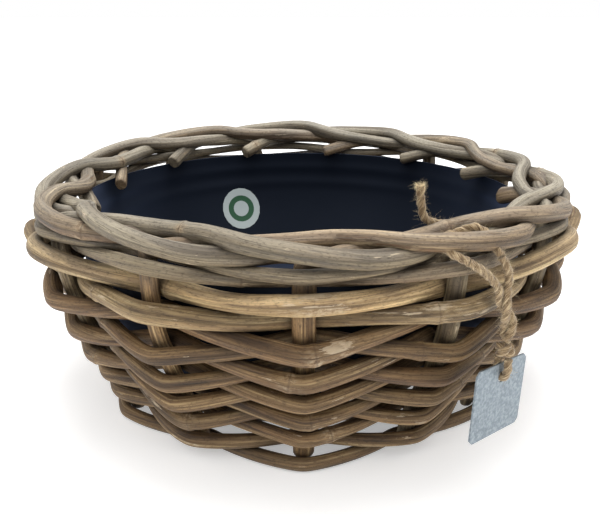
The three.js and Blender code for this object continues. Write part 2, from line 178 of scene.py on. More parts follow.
def ramp(tree, factor, *stops):
    """Turn a factor into a colour or grey, through stops of place and hex colour."""
    made = add_node(tree, "ShaderNodeValToRGB", {"Fac": factor})
    stops_made = made.color_ramp.elements
    while len(stops_made) < len(stops):
        stops_made.new(1.0)
    for stop, (place, code) in zip(stops_made, stops):
        stop.position = place
        stop.color = srgb(code)
    return made.outputs["Color"]


def mix(tree, share, first, second, kind="MIX"):
    """Blend two colours by a share, plainly or as another kind of blend."""
    return add_node(tree, "ShaderNodeMix", {0: share, 6: first, 7: second}, data_type="RGBA",
                    blend_type=kind).outputs[2]


def shaded(tree, colour, share, factor, *stops):
    """Multiply a colour by a ramp's colour over a factor, by a share."""
    return mix(tree, share, colour, ramp(tree, factor, *stops), "MULTIPLY")


def noise(tree, place, features, detail, offset=0.0, rough=0.5):
    """Noise from 0 to 1 over a piece's own places, with so many features in a metre each way. The offset
    moves on to another part of the same noise."""
    moved = add_node(tree, "ShaderNodeVectorMath", {0: place, 1: features, 2: (offset, offset, offset)},
                     operation="MULTIPLY_ADD").outputs[0]
    return add_node(tree, "ShaderNodeTexNoise", {"Vector": moved, "Scale": 1, "Detail": detail,
                                                 "Roughness": rough}).outputs["Fac"]


def own_place(tree):
    """A point's place in its piece's own frame, in metres."""
    return add_node(tree, "ShaderNodeTexCoord").outputs["Object"]


def relief(tree, shader, *layers):
    """Raise a shader's surface by layers, each a height from 0 to 1, its strength and its depth."""
    below = {}
    for height, strength, depth in layers:
        bump = add_node(tree, "ShaderNodeBump", {
            "Height": height, "Strength": strength, "Distance": depth, **below})
        below = {"Normal": bump.outputs[0]}
    tree.links.new(bump.outputs[0], shader.inputs["Normal"])


def read_attribute(tree, name, output="Fac"):
    """A number or, with the output named Vector, three numbers that the mesh carries for its points."""
    return add_node(tree, "ShaderNodeAttribute", attribute_name=name).outputs[output]


def turn_at(pitches):
    """The angle round the bowl, in radians, at pitches past the front stake."""
    return np.radians(FRONT_STAKE_TURN + np.asarray(pitches) * PITCH)


def polar(pitches, radius, z):
    """Places round the bowl, from pitches past the front stake, distance from the middle and height."""
    turn = turn_at(pitches)
    return np.stack([radius * np.sin(turn), -radius * np.cos(turn), z + 0 * turn], -1)


def route_points(route):
    """A listed route as points in metres, from pitches round the bowl, millimetres out from the rim's
    radius, and height in millimetres."""
    pitches, out, z = np.array(route).T
    return polar(pitches, (RIM_RADIUS + out) * MM, z * MM)


def unit(vectors):
    """The same directions with a length of 1."""
    return vectors / np.linalg.norm(vectors, axis=-1, keepdims=True)


def way_along(line):
    """How far along the line each of its points lies."""
    return np.concatenate([[0], np.cumsum(np.linalg.norm(np.diff(line, axis=0), axis=1))])


def line_length(line):
    """The line's whole length."""
    return float(way_along(line)[-1])


def padded(points):
    """The points and one more at each end, straight on from its last two."""
    return np.array([2 * points[0] - points[1], *points, 2 * points[-1] - points[-2]])


def smooth_line(points):
    """A smooth line of twine through points. Each span blends its four nearest points by pairs, three
    times over, with knots set by the square root of the distances (a centripetal spline)."""
    stations = padded(points)
    knots = np.concatenate([[0], np.cumsum(np.sqrt(np.linalg.norm(np.diff(stations, axis=0), axis=1)))])
    spans = []
    for i in range(1, len(stations) - 2):
        row, at = stations[i - 1:i + 3], knots[i - 1:i + 3]
        t = np.linspace(at[1], at[2], SPAN_STEPS, endpoint=i == len(stations) - 3)[:, None]
        for gap in (1, 2):
            row = [((at[k + gap] - t) * row[k] + (t - at[k]) * row[k + 1]) / (at[k + gap] - at[k])
                   for k in range(len(row) - 1)]
        spans.append(((at[2] - t) * row[0] + (t - at[1]) * row[1]) / (at[2] - at[1]))
    return even_line(np.concatenate(spans), TWINE_STEP)


def points_at(line, places):
    """The points at some lengths along a line."""
    return np.stack([np.interp(places, way_along(line), line[:, k]) for k in range(3)], -1)


def even_line(line, step):
    """The same line with points at an even distance along it."""
    length = line_length(line)
    return points_at(line, np.linspace(0, length, max(int(round(length / step)), 3) + 1))


def untwisted_frames(line):
    """For each point of a line its direction and two directions across it, carried along the line by
    removing from the last one what points along the new direction."""
    ahead = unit(np.gradient(line, axis=0))
    across = np.cross(ahead[0], ODD_DIRECTION)
    sides = []
    for direction in ahead:
        across = unit(across - direction * np.dot(across, direction))
        sides.append(across)
    sides = np.array(sides)
    return ahead, sides, np.cross(ahead, sides)


def surface(name, rings, attributes=None):
    """A closed tube from an array of rings of points, smooth along its side, with a flat fan over each
    end. Each attribute is an array of numbers or vectors for the same points, and the fans' middles take
    their ring's mean."""
    count, sides = rings.shape[:2]
    middles = rings[[0, -1]].mean(axis=1)
    points = np.concatenate([rings.reshape(-1, 3), middles])
    ring, side = np.meshgrid(np.arange(count - 1), np.arange(sides), indexing="ij")
    corner = ring * sides + side
    beside = ring * sides + (side + 1) % sides
    quads = np.stack([corner, beside, beside + sides, corner + sides], -1).reshape(-1, 4)
    around = np.arange(sides)
    following = (around + 1) % sides
    last = (count - 1) * sides
    start_fan = np.stack([following, around, np.full(sides, count * sides)], -1)
    end_fan = np.stack([last + around, last + following, np.full(sides, count * sides + 1)], -1)
    mesh = bpy.data.meshes.new(name)
    mesh.from_pydata(points.tolist(), [], quads.tolist() + start_fan.tolist() + end_fan.tolist())
    mesh.polygons.foreach_set("use_smooth", np.arange(len(mesh.polygons)) < len(quads))
    for label, values in (attributes or {}).items():
        is_vector = values.ndim == 3
        flat = values.reshape(count * sides, -1)
        ends = values[[0, -1]].reshape(2, sides, -1).mean(axis=1)
        layer = mesh.attributes.new(label, "FLOAT_VECTOR" if is_vector else "FLOAT", "POINT")
        layer.data.foreach_set("vector" if is_vector else "value", np.concatenate([flat, ends]).ravel())
    return mesh


def add_piece(name, mesh, material, body, nodes):
    """Put a mesh in the scene as a piece that rides on a body and stands for the named nodes."""
    piece = bpy.data.objects.new(name, mesh)
    bpy.context.scene.collection.objects.link(piece)
    mesh.materials.append(material)
    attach(piece, body)
    if nodes:
        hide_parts(*nodes)
    return piece


def twine_tube(name, line):
    """A three-ply twine along a line. Round it the surface follows three touching circles, and the
    circles turn once in every lay. For the material, the 'fibre' attribute runs along and round the
    plies, and 'proud' is the reach as a share of the radius, which is least in the grooves."""
    along = way_along(line)
    _, across, other = untwisted_frames(line)
    angle = np.linspace(0, 2 * np.pi, TWINE_SIDES, endpoint=False)[None, :]
    twist = (2 * np.pi * along / PLY_LAY)[:, None]
    from_ply = (angle - twist + np.pi / 3) % (2 * np.pi / 3) - np.pi / 3
    hollow = np.maximum(PLY_RADIUS ** 2 - (PLY_OUT * np.sin(from_ply)) ** 2, 0)
    reach = np.maximum(PLY_OUT * np.cos(from_ply) + np.sqrt(hollow), PLY_GROOVE)
    swell = 1 + TWINE_SWELL * np.sin(along * TWINE_SWELL_RATE + TWINE_SWELL_START)
    proud = reach * swell[:, None] * PLY_FULLNESS
    reach = proud * TWINE_D / 2
    rings = line[:, None] + reach[..., None] * (
        np.cos(angle)[..., None] * across[:, None] + np.sin(angle)[..., None] * other[:, None])
    fibre = np.stack([along[:, None] + 0 * angle, (angle - twist) * TWINE_D / 2, reach], -1)
    return surface(name, rings, {"fibre": fibre, "proud": proud})


def hairs(name, line, per_mm, length, seed, both_ways=True):
    """Loose fibres that leave a twine's surface, as thin three-sided strips, whose triangles all stand in
    one upright plane. Each starts along the twine, one way or both ways, and bends outwards by its lift
    and sideways by its curl, times a power of the share of its length."""
    rng = np.random.default_rng(seed)
    ahead, across, other = untwisted_frames(line)
    count = int(line_length(line) / MM * per_mm)
    at = rng.integers(0, len(line), count)
    angle = rng.uniform(0, 2 * np.pi, count)[:, None]
    out = np.cos(angle) * across[at] + np.sin(angle) * other[at]
    sideways = np.cross(ahead[at], out)
    way = ahead[at] * rng.choice([-1 if both_ways else 1, 1], count)[:, None]
    reach = (length * rng.gamma(*HAIR_LENGTHS, count))[:, None]
    curl = rng.normal(0, HAIR_CURL, (count, 1))
    lift = rng.uniform(*HAIR_LIFT, (count, 1))
    share = np.linspace(0, 1, HAIR_RINGS)[None, :, None]
    start = line[at] + out * TWINE_D * HAIR_ROOT
    curve = (start[:, None] + (way * reach)[:, None] * share * (1 - HAIR_SLOWING * share)
             + (out * reach * lift)[:, None] * share ** HAIR_LIFT_POWER
             + (sideways * reach * curl)[:, None] * share ** 2)
    corner = np.linspace(0, 2 * np.pi, HAIR_SIDES, endpoint=False)[:, None]
    ring = np.cos(corner) * UP + np.sin(corner) * HAIR_LEVEL_WAY
    width = HAIR_D / 2 * (1 - HAIR_TAPER * share[..., None])
    points = curve[:, :, None] + ring[None, None] * width
    hair = np.arange(count)[:, None, None] * HAIR_RINGS * HAIR_SIDES
    row = np.arange(HAIR_RINGS - 1)[None, :, None] * HAIR_SIDES
    side = np.arange(HAIR_SIDES)[None, None, :]
    first = hair + row + side
    second = hair + row + (side + 1) % HAIR_SIDES
    quads = np.stack([first, second, second + HAIR_SIDES, first + HAIR_SIDES], -1).reshape(-1, 4)
    roots = (hair + side[..., ::-1]).reshape(-1, HAIR_SIDES)
    tips = (hair + (HAIR_RINGS - 1) * HAIR_SIDES + side).reshape(-1, HAIR_SIDES)
    mesh = bpy.data.meshes.new(name)
    mesh.from_pydata(points.reshape(-1, 3).tolist(), [], quads.tolist() + roots.tolist() + tips.tolist())
    return mesh


# Spun jute: dull, coarse and fibrous. Fine dark and pale fibres run along each ply, and painted shade
# darkens the grooves between plies.
def jute_material():
    material, tree, shader = new_material("spun_jute", Roughness=0.88, IOR=1.5, Sheen_Weight=0.25)
    fibre = read_attribute(tree, "fibre", "Vector")
    fine = noise(tree, fibre, JUTE_FIBRES, 3)
    patch = noise(tree, fibre, JUTE_PATCHES, 2)
    colour = ramp(tree, fine, (0.34, JUTE_DARK), (0.48, JUTE_MID), (0.62, JUTE_PALE))
    colour = shaded(tree, colour, 0.55, patch, (0.35, "#B39C7C"), (0.65, "#FFF8EC"))
    # Painted shade in the grooves between plies, where the reach is least.
    colour = shaded(tree, colour, 0.85, read_attribute(tree, "proud"), (0.8, "#8C7558"), (0.98, "#FFFFFF"))
    tree.links.new(colour, shader.inputs["Base Color"])
    relief(tree, shader, (fine, 0.7, 0.25 * MM))
    return material


jute = jute_material()
# Single fibres of the same jute: greyish where they stand off the twine, clean where it was cut.
hair_jute, _, _ = new_material("loose_jute_fibre", Base_Color=srgb("#CAB894"), Roughness=0.8, IOR=1.5)
cut_jute, _, _ = new_material("clean_cut_jute_fibre", Base_Color=srgb("#E8D8B0"), Roughness=0.8, IOR=1.5)


def twine_piece(name, line, body, nodes, hairs_per_mm=HAIRS_PER_MM, hair_length=HAIR_LENGTH):
    """One length of twine and its loose fibres, whose seed is the length of its name."""
    piece = add_piece(name + "_jute", twine_tube(name, line), jute, body, nodes)
    fuzz = hairs(name + "_hairs", line, hairs_per_mm, hair_length, len(name))
    return piece, add_piece(name + "_hairs", fuzz, hair_jute, body, [])


loop_line = smooth_line(route_points(LOOP_ROUTE))
loop_piece, loop_hairs = twine_piece("twine_loop", loop_line, "bowl", ["twine_loop"])

end_line = smooth_line(route_points(FRAYED_END_ROUTE))
end_piece, end_hairs = twine_piece("twine_frayed_end", end_line, "bowl", ["twine_frayed_end"])
tuft_mesh = hairs("twine_frayed_tuft", end_line[-FRAY_RINGS:], FRAY_PER_MM, FRAY_LENGTH, FRAY_SEED,
                  both_ways=False)
tuft = add_piece("twine_frayed_tuft", tuft_mesh, cut_jute, "bowl", [])

# The rest of the twine makes a small loop through the tag's hole, square to the tag's face.
tag_face = np.array([math.sin(TAG_FACING), -math.cos(TAG_FACING), 0])
tag_loop_points = (TAG_HOLE_AT + TAG_LOOP_WAY[:, :1] * TAG_LOOP_HALF * tag_face
                   + TAG_LOOP_WAY[:, 1:] * UP) * MM
tag_loop_line = smooth_line(tag_loop_points)
tag_loop_pieces = twine_piece("twine_tag_loop", tag_loop_line, "hanging_twine", ["twine_tag_loop"])

# The knot's way is a trefoil: three lobes, seen from above, that go over and under each other. It goes
# twice round, and its distance from the middle and its height are waves with three crests.
knot_turn = np.linspace(0, 2 * np.pi, KNOT_STEPS)
knot_reach = (2 + np.cos(3 * knot_turn)) * KNOT_UNIT
knot_way = np.stack([knot_reach * np.cos(2 * knot_turn), knot_reach * np.sin(2 * knot_turn),
                     KNOT_FLATNESS * KNOT_UNIT * np.sin(3 * knot_turn)], -1)
knot_line = even_line((TAG_HOLE_AT + KNOT_ABOVE_HOLE * UP + knot_way) * MM, TWINE_STEP)
knot_pieces = twine_piece("twine_knot", knot_line, "hanging_twine", ["twine_knot"], KNOT_HAIRS_PER_MM)


def wound_line(strand, centre):
    """A strand's route and then its half of the twist, as one line: round the twist's centre line the
    strand keeps one distance and turns evenly, from the side where the strand arrives."""
    _, across, other = untwisted_frames(centre)
    arriving = strand[-1] - centre[0]
    start_angle = math.atan2(arriving @ other[0], arriving @ across[0])
    angle = (start_angle + 2 * np.pi * TWIST_TURNS * np.linspace(0, 1, len(centre)))[:, None]
    wound = centre + TWIST_HELIX * (np.cos(angle) * across + np.sin(angle) * other)
    return smooth_line(np.concatenate([strand, wound[TWIST_EVERY::TWIST_EVERY]]))


twist_centre = smooth_line(route_points(TWIST_ROUTE))
for number, route in enumerate((STRAND_1_ROUTE, STRAND_2_ROUTE), start=1):
    line = wound_line(route_points(route), twist_centre)
    strand, strand_hairs = twine_piece(f"twine_strand_{number}", line, "hanging_twine",
                                       [f"twine_strand_{number}", "twine_twist"],
                                       STRAND_HAIRS_PER_MM, STRAND_HAIR_LENGTH)
    carried = [strand_hairs]
    if number == 1:
        carried += [*knot_pieces, *tag_loop_pieces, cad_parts["tag"]]

# Weaving rods
# Twelve rods of peeled rattan, 8 to 12 mm thick, woven wet in one rising spiral round the stakes. They
# lie end to end, each with its ends hidden inside the bowl. The low ones are brown, the next two smooth
# and tan, and the two thin ones at the top grey.
STAKE_D = 8
ROD_GAP = 0.6
# The control points of a cubic Bezier curve, as radius and height.
WALL_LINE = np.array([(136.5, 0), (138, 45), (177.5, 70), (RIM_RADIUS, 140)])
WALL_POINTS = 4001
WEAVER_D_LOW = 7.6
WEAVER_D_HIGH = 10
WEAVER_D_TOP = 6.8
THICK_WEAVERS = 10
THIN_WEAVERS = 2
WEAVER_SPAN = 14
WEAVE_START_Z = 26.8
WEAVE_TILT = 1.5
WEAVE_START_STAKE = 8
ROW_GAP = 0.5
LOOSE_ROW_RISE = 4.2
LOOSE_WEAVER = 8
BUTT_GAP = 2.4
PASS_GAP = 0.8
PASS_SHARPNESS = 0.985
LOW_INNER_RISE = 5
LOW_RISE_ROWS = 3
LOWEST_SAG = 5
LOOSE_SWAY = 3
THIN_LIFT = 2.5
BACK_RISE = 1
THICK_SWELL = 1.6
THIN_SWELL = 1.1
CROSSING_NIP = 0.14
WEAVE_STEPS = 30
WEAVER_SEED = 10
# At the bowl's two sides, each loose row's share of the full rise and push, by its number from 0.
SIDE_SLACK = {6: 0.3, 7: 0.6, 8: 0.8, 9: 1.0}
SIDE_RISE = 13
SIDE_PUSH = 8.5
# A row's tone at the front, above 1 where it is paler, and the pitch and reach of its worn place.
ROD_TONES = {8: 0.86, 9: 1.5, 10: 1.3, 11: 1.3}
WORN_PLACES = {9: (0.1, 0.2), 8: (0.85, 0.35), 7: (0.2, 0.1)}
# The waves that shift the whole wall: each one's size, crests round the bowl, start, and millimetres of
# height for each radian.
LIFT_WAVES = ((1.1, 3, 0.4, 55), (0.8, 5, 2.1, -40), (0.5, 8, 1.2, 23))
PUSH_WAVES = ((0.5, 2, 1.9, 60), (0.3, 7, 0.3, -35))
WAVES_START_HEIGHT = 40

wall_share = np.linspace(0, 1, WALL_POINTS)[:, None]
rest_share = 1 - wall_share
wall_points = (rest_share ** 3 * WALL_LINE[0] + 3 * rest_share ** 2 * wall_share * WALL_LINE[1]
               + 3 * rest_share * wall_share ** 2 * WALL_LINE[2] + wall_share ** 3 * WALL_LINE[3])
wall_way = way_along(wall_points)
wall_slope = unit(np.gradient(wall_points, axis=0))


def wall_at(along):
    """Radius, height and outward normal of the wall line at lengths along it; it ends straight up."""
    beyond = np.maximum(along - wall_way[-1], 0)
    radius, z = (np.interp(along, wall_way, wall_points[:, k]) for k in (0, 1))
    slope_radius, slope_z = (np.interp(along, wall_way, wall_slope[:, k]) for k in (0, 1))
    slope_radius = np.where(beyond > 0, 0, slope_radius)
    slope_z = np.where(beyond > 0, 1, slope_z)
    return radius, z + beyond, slope_z, -slope_radius


def along_at(z):
    """The length along the wall line at a height."""
    return np.interp(z, wall_points[:, 1], wall_way) + np.maximum(z - wall_points[-1, 1], 0)


def sum_of_waves(waves, turn, z):
    """The sum of sine waves at angles round the bowl and heights."""
    return sum(size * np.sin(crests * turn + start + z / rise) for size, crests, start, rise in waves)


def uneven(points):
    """Shift places in millimetres as one soft body, so that rods that touch still touch: the shift is
    a sum of waves round the bowl and up its wall, most of it up and down."""
    turn = np.arctan2(points[:, 0], -points[:, 1])
    z = points[:, 2]
    outward = np.stack([np.sin(turn), -np.cos(turn), 0 * turn], -1)
    settled = np.clip(z / WAVES_START_HEIGHT, 0, 1)
    lift = sum_of_waves(LIFT_WAVES, turn, z) * settled
    push = sum_of_waves(PUSH_WAVES, turn, z) * settled
    return points + lift[:, None] * UP + push[:, None] * outward


def trim(points, length):
    """The same line without a short length at each end."""
    along = way_along(points)
    return points_at(points, np.clip(along, length, along[-1] - length))


# The shape of one rod. Waves and lengths are in millimetres, and sizes are shares of its radius. A wave
# drifts as a sum of sines, whose lengths spread about its own.
DRIFT_SINES = 4
DRIFT_SPREAD = (0.6, 1.7)
DRIFT_GAIN = 1.6
ROD_STEP = 2.0
ROD_SIDES = 36
END_EASE = 30
RISE_WAVE = 90
PUSH_WAVE = 70
TWIST_WAVE = 400
TWIST_REACH = 0.9
THICKNESS_WAVE = 170
THICKNESS_REACH = 0.06
THICKNESS_SPREAD = 0.04
OVAL_WAVE = 120
OVAL_REACH = 0.035
GROOVE_WAVE = 140
GROOVE_SWAY = 1.2
GROOVES = ((3, 0.018), (5, 0.014), (7, 0.012), (10, 0.011), (14, 0.010))
NODE_SPACING = (130, 330)
FIRST_NODE_BACK = 60
NODE_RIDGE = 0.12
NODE_RIDGE_WIDTH = 3.5
NODE_HOLLOW = 0.08
NODE_HOLLOW_AT = 2.4
NODE_HOLLOW_WIDTH = 1.4
CUT_SHRINK = 0.16
CUT_WIDTH = 0.8
PRESS_FADE = 12
PRESSED_WIDER = 0.14
PRESSED_THINNER = 0.06
NIPPED_THICKER = 0.3
TONE_SPREAD = 0.1
TONE_REACH = 2.2
UPRIGHT_PALER = 0.25
GRAIN_SHIFT = 0.731
# Where the weather's grey grows, by height and from the front, how wide the marks of the skin are, and how
# far the painted shade between rods reaches.
GREY_HEIGHTS = (120 * MM, 155 * MM)
GREY_DEPTHS = (-180 * MM, -60 * MM)
TORN_WIDTH = 4.5 * MM
RING_WIDTH = 0.5 * MM
PAINTED_SHADE_REACH = 7 * MM


def drift(rng, places, wavelength):
    """A slow random wave along a rod, from about -1 to 1: a sum of sines of nearby wavelengths."""
    lengths = wavelength * rng.uniform(*DRIFT_SPREAD, DRIFT_SINES)
    phases = rng.uniform(0, 2 * np.pi, DRIFT_SINES)
    return np.sin(2 * np.pi * places[:, None] / lengths + phases).mean(axis=1) * DRIFT_GAIN


def bell(values, middle, width):
    """A bell curve: 1 at its middle, and falling as e to the minus square of the distance in widths."""
    return np.exp(-((values - middle) / width) ** 2)


def rod_mesh(name, points, diameter, seed, wobble=0.35, wide_below=0.0, nip=0.0, tone=1.0, worn=None):
    """A rattan rod along a line of points in millimetres. Its radius is the rod's own, times a slow
    thickness wave plus a ridge at each node, times shallow grooves and a slight oval that wander along
    it. The rings near both ends shrink a little, as a cut end does. Below a height the rod is pressed
    flat between others: wider along the wall than across it, and paler. A weaving rod is nipped half-way
    between stakes, where it crosses the rods above and below it. Its tone holds at the front and fades
    to 1 at the sides as a bell curve, and a worn place fades to 0 likewise, from its pitch by its reach."""
    rng = np.random.default_rng(seed)
    line = even_line(points, ROD_STEP)
    total = ROD_STEP * (len(line) - 1)
    places = np.linspace(0, total, len(line))
    from_end = np.minimum(places, total - places)
    ahead = unit(np.gradient(line, axis=0))
    outward = line * np.array([1, 1, 0])
    outward = unit(outward - ahead * (outward * ahead).sum(axis=1, keepdims=True))
    upward = np.cross(ahead, outward)
    ease = np.clip(from_end / END_EASE, 0, 1)
    for wave, way in ((RISE_WAVE, upward), (PUSH_WAVE, outward)):
        line = line + (wobble * ease * drift(rng, places, wave))[:, None] * way
    angle = np.linspace(0, 2 * np.pi, ROD_SIDES, endpoint=False)
    turned = angle[None, :] + TWIST_REACH * drift(rng, places, TWIST_WAVE)[:, None]
    thickness = 1 + rng.uniform(-THICKNESS_SPREAD, THICKNESS_SPREAD)
    thickness = thickness * (1 + THICKNESS_REACH * drift(rng, places, THICKNESS_WAVE))
    oval = OVAL_REACH * np.cos(2 * (turned + rng.uniform(0, 6)))
    oval = oval * (1 + drift(rng, places, OVAL_WAVE))[:, None]
    grooves = sum(
        size * np.cos(number * turned + rng.uniform(0, 6)
                      + GROOVE_SWAY * drift(rng, places, GROOVE_WAVE)[:, None])
        for number, size in GROOVES)
    node_gaps = rng.uniform(*NODE_SPACING, int(total / NODE_SPACING[0]) + 2)
    from_node = places[:, None] - (np.cumsum(node_gaps) - FIRST_NODE_BACK)[None, :]
    nearest = from_node[np.arange(len(places)), np.abs(from_node).argmin(axis=1)]
    ridge = (NODE_RIDGE * bell(nearest, 0, NODE_RIDGE_WIDTH)
             - NODE_HOLLOW * bell(nearest, NODE_HOLLOW_AT, NODE_HOLLOW_WIDTH))
    cut = 1 - CUT_SHRINK * np.exp(-from_end / CUT_WIDTH)
    reach = diameter / 2 * (thickness * cut + ridge)[:, None] * (1 + oval + grooves)
    pressed = np.clip((wide_below - line[:, 2]) / PRESS_FADE, 0, 1)[:, None, None]
    pitches = (np.degrees(np.arctan2(line[:, 0], -line[:, 1])) - FRONT_STAKE_TURN) / PITCH
    nipped = nip * (np.sin(np.pi * pitches) ** 2)[:, None, None]
    rings = line[:, None] + reach[..., None] * (
        np.cos(angle)[None, :, None] * outward[:, None]
        * (1 - PRESSED_THINNER * pressed + NIPPED_THICKER * nipped)
        + np.sin(angle)[None, :, None] * upward[:, None] * (1 + PRESSED_WIDER * pressed - nipped))
    grain = np.stack([np.broadcast_to(places[:, None], reach.shape) * MM, turned * diameter / 2 * MM,
                      np.full(reach.shape, seed * GRAIN_SHIFT)], -1)
    node = np.broadcast_to(nearest[:, None], reach.shape) * MM
    own_tone = rng.uniform(1 - TONE_SPREAD, 1 + TONE_SPREAD)
    own_tone = own_tone * (1 + (tone - 1) * bell(pitches, 0, TONE_REACH))[:, None]
    own_tone = own_tone * (1 + UPRIGHT_PALER * pressed[..., 0]) + 0 * reach
    worn_share = bell(pitches, *worn) if worn else 0 * pitches
    worn_share = np.broadcast_to(worn_share[:, None], reach.shape)
    return surface(name, rings * MM, {"grain": grain, "from_node": node, "groove": grooves + oval,
                                      "tone": own_tone, "worn": worn_share})


def maths(tree, kind, *values):
    """One step of arithmetic on numbers or sockets."""
    return add_node(tree, "ShaderNodeMath", dict(enumerate(values)), operation=kind).outputs[0]


def times(tree, first, *others):
    """The product of numbers or sockets."""
    for other in others:
        first = maths(tree, "MULTIPLY", first, other)
    return first


def scaled_colour(tree, colour, factor):
    """A colour times a number."""
    return add_node(tree, "ShaderNodeVectorMath", {0: colour, "Scale": factor},
                    operation="SCALE").outputs[0]


def mapped(tree, value, span, low, high):
    """A place within a span as a share between low and high."""
    start, end = span
    return add_node(tree, "ShaderNodeMapRange", {0: value, 1: start, 2: end, 3: low, 4: high}).outputs[0]


def node_bell(tree, from_node, width, power):
    """1 at a rod's node, and falling as e to the minus square of the distance in widths, times a power."""
    widths = maths(tree, "DIVIDE", from_node, width)
    return maths(tree, "POWER", math.e, times(tree, widths, widths, -power))


def weathering(tree, grey_share):
    """How grey the sun and rain have made a place: more on faces that look up, at the border, and from
    the front towards the back."""
    normal = add_node(tree, "ShaderNodeNewGeometry").outputs["Normal"]
    looks_up = add_node(tree, "ShaderNodeSeparateXYZ", {0: normal}).outputs["Z"]
    parts = add_node(tree, "ShaderNodeSeparateXYZ", {0: own_place(tree)}).outputs
    border = mapped(tree, parts["Z"], GREY_HEIGHTS, 0.1, 1.0)
    behind = mapped(tree, parts["Y"], GREY_DEPTHS, 0.6, 1.15)
    return times(tree, maths(tree, "MULTIPLY_ADD", looks_up, 0.4, 0.6), border, behind, grey_share)


# Dry rattan left outdoors: its skin has fine lengthwise cracks, shreds of brown bark, pale scuffs where it
# rubbed, a thin dark ring and torn skin at each node, and grey where rain and sun reach it. Painted shade
# darkens its grooves and the places where rods meet. Each noise has its features in a metre along and round
# the rod.
def rattan_material(name, dark, middle, pale, bark_share, grey_share):
    material, tree, shader = new_material(name, IOR=1.5)
    grain = read_attribute(tree, "grain", "Vector")
    from_node = read_attribute(tree, "from_node")
    groove = read_attribute(tree, "groove")
    worn = read_attribute(tree, "worn")
    fine = noise(tree, grain, (45, 1900, 1), 4, 3.1, 0.65)
    streak = noise(tree, grain, (11, 700, 1), 4, 7.7, 0.6)
    blotch = noise(tree, grain, (22, 110, 1), 4, 1.9, 0.6)
    slow = noise(tree, grain, (4.5, 16, 1), 2, 9.4)
    speck = noise(tree, grain, (420, 900, 1), 3, 5.3, 0.6)
    scuffing = noise(tree, grain, (30, 160, 1), 5, 12.3, 0.7)
    barking = noise(tree, grain, (13, 75, 1), 4, 21.7, 0.65)
    tearing = noise(tree, grain, (260, 420, 1), 4, 31.3, 0.75)
    fine_edge = maths(tree, "SUBTRACT", fine, 0.5)

    # The dry skin: streaks, slow changes of tint, blotches, and the grey of rain and sun.
    colour = ramp(tree, streak, (0.28, dark), (0.5, middle), (0.72, pale))
    colour = shaded(tree, colour, 0.75, slow, (0.32, "#B3936C"), (0.5, "#E6DCC2"), (0.68, "#D0CCB9"))
    colour = shaded(tree, colour, 0.65, blotch, (0.36, "#6B5340"), (0.5, "#E9E2D6"), (0.62, "#FFFFFF"))
    colour = mix(tree, weathering(tree, grey_share), colour, mix(tree, 0.6, colour, srgb("#BDB8AA")))

    # Cracks and specks, painted shade in the grooves, and then the rod's own tone.
    # Painted shade: the colour darkens where the groove attribute shows that the surface sinks in.
    depth = maths(tree, "MULTIPLY_ADD", groove, 6.0, 0.5)
    colour = shaded(tree, colour, 0.62, fine, (0.36, "#4A3A2B"), (0.47, "#FFFFFF"))
    colour = shaded(tree, colour, 0.4, speck, (0.36, "#5A4632"), (0.46, "#FFFFFF"))
    colour = shaded(tree, colour, 0.7, depth, (0.05, "#7A6854"), (0.55, "#FFFFFF"))
    colour = scaled_colour(tree, colour, read_attribute(tree, "tone"))

    # Pale scuffs, most of them at a worn place, and shreds of bark.
    scuffed = maths(tree, "MULTIPLY_ADD", worn, 0.13, maths(tree, "MULTIPLY_ADD", fine_edge, 0.2, scuffing))
    scuff = ramp(tree, scuffed, (0.66, "#000000"), (0.68, "#FFFFFF"))
    colour = mix(tree, times(tree, scuff, 0.6), colour, srgb("#D6C3A6"))
    bark_edge = maths(tree, "MULTIPLY_ADD", fine_edge, 0.3, barking)
    bark = ramp(tree, bark_edge, (0.69 - bark_share, "#000000"), (0.705 - bark_share, "#FFFFFF"))
    colour = mix(tree, bark, colour, ramp(tree, streak, (0.3, "#3F2C1D"), (0.7, "#8A6A49")))

    # Torn skin round each node and at a worn place, and the node's dark ring.
    knotty = maths(tree, "MAXIMUM", node_bell(tree, from_node, TORN_WIDTH, 1.0), times(tree, worn, 0.8))
    torn_share = times(tree, knotty, ramp(tree, blotch, (0.46, "#000000"), (0.6, "#D0D0D0")))
    torn = ramp(tree, tearing, (0.4, "#5A442E"), (0.5, "#A58A68"), (0.62, "#D0C0A2"))
    colour = mix(tree, torn_share, colour, torn)
    ring_share = times(tree, node_bell(tree, from_node, RING_WIDTH, 0.8), blotch, 0.9)
    colour = mix(tree, ring_share, colour, srgb("#4C3826"))

    # Painted shade where rods lie close, from ambient occlusion darkening the colour, and the skin's
    # roughness and relief.
    painted_shade_ao = add_node(tree, "ShaderNodeAmbientOcclusion", {"Distance": PAINTED_SHADE_REACH}, samples=6)
    unshaded_share = maths(tree, "POWER", painted_shade_ao.outputs["AO"], 1.3)
    unshaded_share = maths(tree, "MULTIPLY_ADD", unshaded_share, 0.72, 0.28)
    # The colour is multiplied by the share left unshaded, which paints shade between rods.
    tree.links.new(scaled_colour(tree, colour, unshaded_share), shader.inputs["Base Color"])
    tree.links.new(maths(tree, "MULTIPLY_ADD", bark, -0.22, 0.62), shader.inputs["Roughness"])
    skin = maths(tree, "MULTIPLY_ADD", fine, 0.5, times(tree, streak, 0.6))
    skin = maths(tree, "MULTIPLY_ADD", speck, 0.12, skin)
    relief(tree, shader, (skin, 0.9, 1.0 * MM), (bark, 0.6, 0.35 * MM))
    return material


rattan_finishes = {
    "rattan_brown": rattan_material("weathered_brown_rattan", "#5F4832", "#967A56", "#CFB893", 0.0, 0.75),
    "rattan_grey": rattan_material("weathered_grey_rattan", "#5F5140", "#8C7E66", "#B0A48C", -0.01, 0.85),
    "rattan_tan": rattan_material("smooth_tan_rattan", "#8F785A", "#C1AA84", "#E1CFAE", -0.03, 0.8),
}


